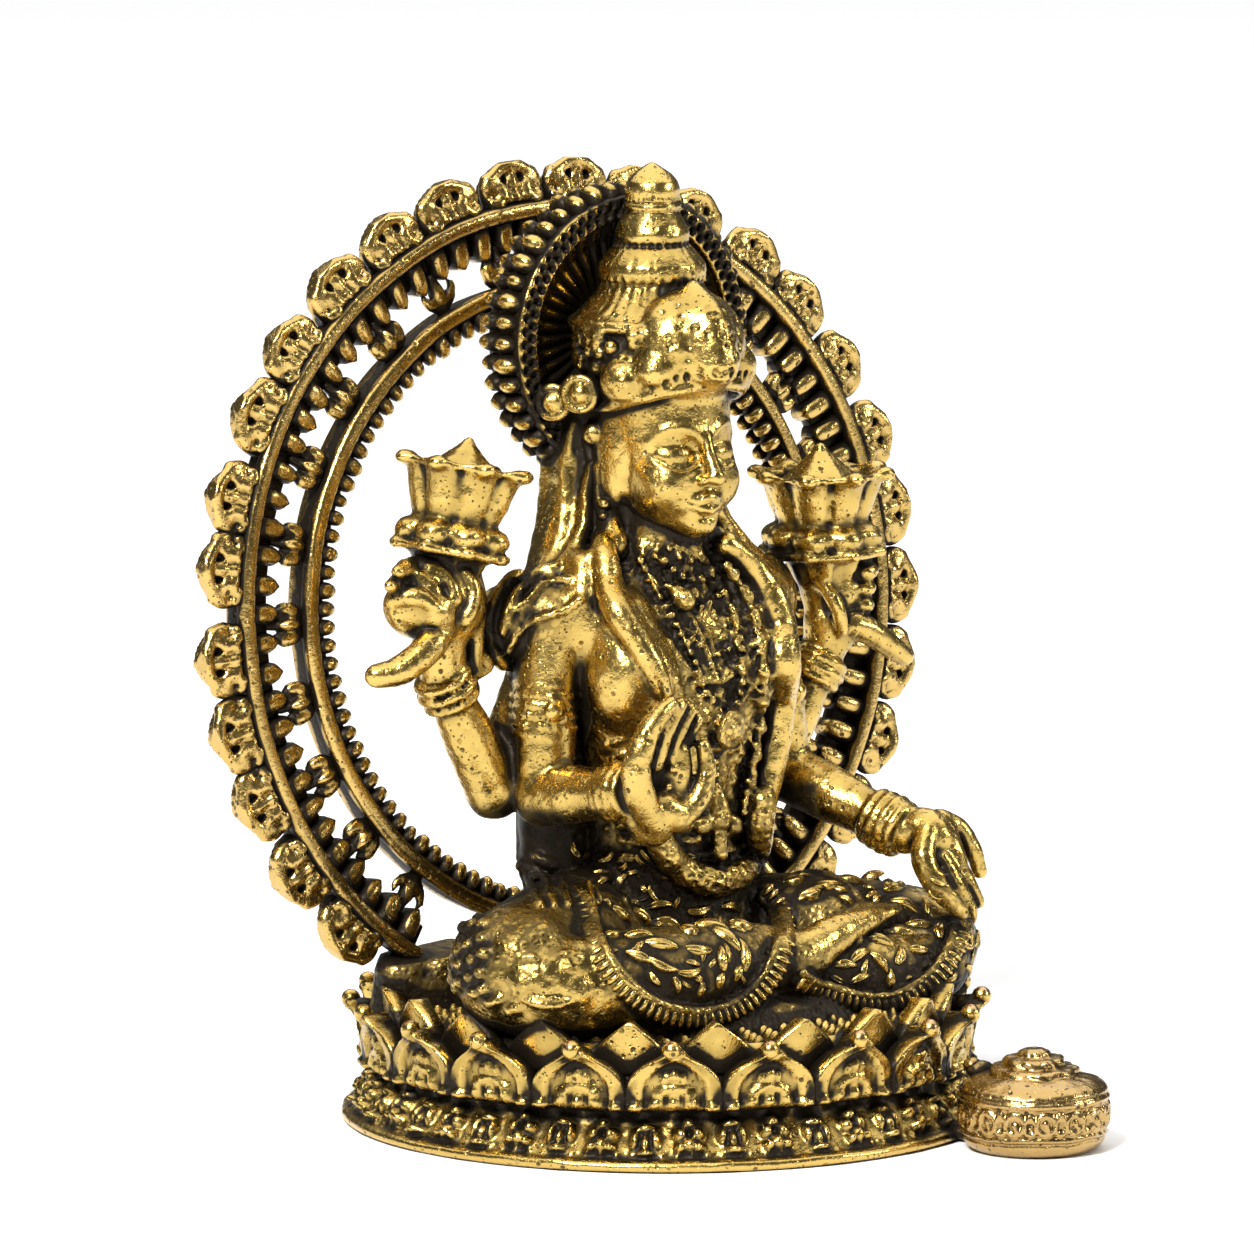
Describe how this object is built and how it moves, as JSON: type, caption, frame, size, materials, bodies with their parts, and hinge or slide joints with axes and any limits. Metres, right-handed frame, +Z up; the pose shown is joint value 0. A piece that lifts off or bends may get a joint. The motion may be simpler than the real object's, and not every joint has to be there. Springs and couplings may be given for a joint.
{
  "type": "seated goddess figurine",
  "caption": "Small cast brass goddess with four arms, seated cross-legged on a round lotus base before a pierced double-hoop aureole, with a little round footstool.",
  "frame": {"origin": "centre of the flat underside of the round lotus base", "axes": "+Z up, -Y the way the figure faces, +X towards the figure's own left hand"},
  "size_m": [0.0564, 0.0483, 0.06],
  "materials": {
    "statue_brass": "antiqued: bright rubbed highs over a dark brown-black patina in the recesses",
    "aureole_brass": "antiqued: rubbed edges and tips, darker recesses",
    "footstool_brass": "antiqued, slightly coppery"
  },
  "bodies": {
    "root": {"goddess_on_lotus_base": "statue_brass", "aureole_ring": "aureole_brass", "footstool": "footstool_brass"}
  },
  "joints": []
}
